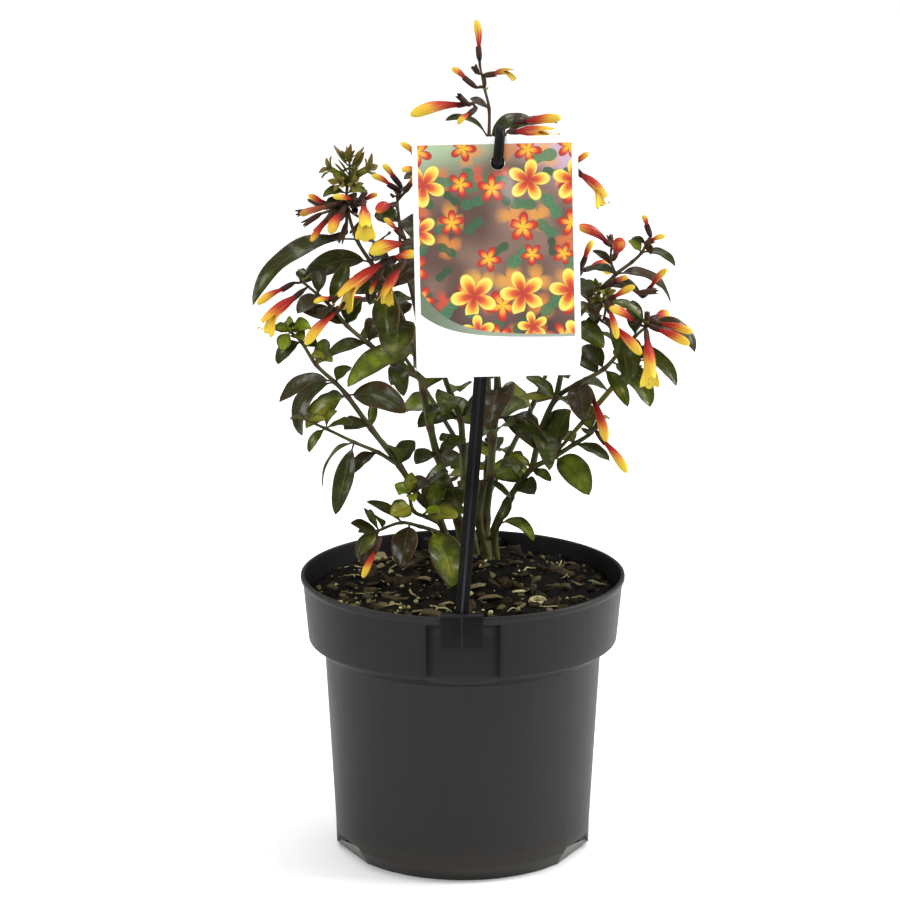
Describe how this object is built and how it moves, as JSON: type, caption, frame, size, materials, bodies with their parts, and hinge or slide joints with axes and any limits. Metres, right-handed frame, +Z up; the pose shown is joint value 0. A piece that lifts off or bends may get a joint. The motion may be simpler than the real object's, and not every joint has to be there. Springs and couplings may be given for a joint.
{
  "type": "potted jacobinia plant",
  "caption": "Bushy flowering house plant with slim shoots, arching leaves and small red-to-yellow tubular blooms, in a collared nursery pot with a picture label on a clip-on stake.",
  "frame": {"origin": "middle of the pot's underside, on the surface that it stands on", "axes": "+Z up the pot's axis, the label faces -Y, +X to the right as the label is read"},
  "size_m": [0.1872, 0.1665, 0.3631],
  "materials": {
    "pot": "dark warm grey moulded plastic, matt to satin",
    "soil": "loose peat and bark potting mix",
    "stake": "near-black moulded plastic, satin",
    "card": "printed white plastic card",
    "foliage": "glossy living leaf and green stem",
    "bloom": "soft satin petals, scarlet at the foot and yellow at the tip"
  },
  "bodies": {
    "root": {"pot": "pot", "soil": "soil", "label_stake": "stake", "label_card": "card", "stem_tall": "foliage", "stem_left": "foliage", "stem_low_left": "foliage", "stem_right": "foliage", "stem_centre": "foliage", "stem_back": "foliage", "bloom_tall_1": "bloom", "bloom_tipLeft_1": "bloom", "bloom_tipRight_1": "bloom", "bloom_tipRight_2": "bloom", "bloom_hiddenRight_1": "bloom", "bloom_hiddenRight_3": "bloom", "bloom_hiddenLeft_3": "bloom", "bloom_left_2": "bloom", "bloom_left_3": "bloom", "bloom_left_4": "bloom", "bloom_left_5": "bloom", "bloom_left_6": "bloom", "bloom_leftInner_1": "bloom", "bloom_leftInner_3": "bloom", "bloom_leftInner_4": "bloom", "bloom_leftInner_5": "bloom", "bloom_leftInner_6": "bloom", "bloom_leftTwig_1": "bloom", "bloom_leftTwig_2": "bloom", "bloom_upperLeft_1": "bloom", "bloom_upperLeft_2": "bloom", "bloom_upperLeft_3": "bloom", "bloom_upperLeft_4": "bloom", "bloom_overSoil_1": "bloom", "bloom_right_1": "bloom", "bloom_right_2": "bloom", "bloom_rightUp_1": "bloom", "bloom_rightUp_2": "bloom", "bloom_rightUp_3": "bloom", "bloom_rightUp_4": "bloom", "bloom_rightUp_5": "bloom", "bloom_rightInner_4": "bloom", "bloom_rightInner_5": "bloom", "bloom_rightTwig_1": "bloom", "bloom_rightTwig_3": "bloom", "bloom_rightMid_1": "bloom", "bloom_rightMid_2": "bloom", "bloom_centre_1": "bloom", "bloom_centre_2": "bloom", "bloom_centre_3": "bloom", "bloom_centre_4": "bloom", "bloom_back_1": "bloom", "bloom_back_2": "bloom", "bloom_back_3": "bloom", "bloom_backLeft_1": "bloom", "bloom_backLeft_2": "bloom", "bloom_backLeft_3": "bloom", "bloom_backRight_2": "bloom", "bloom_backRight_3": "bloom"}
  },
  "joints": []
}
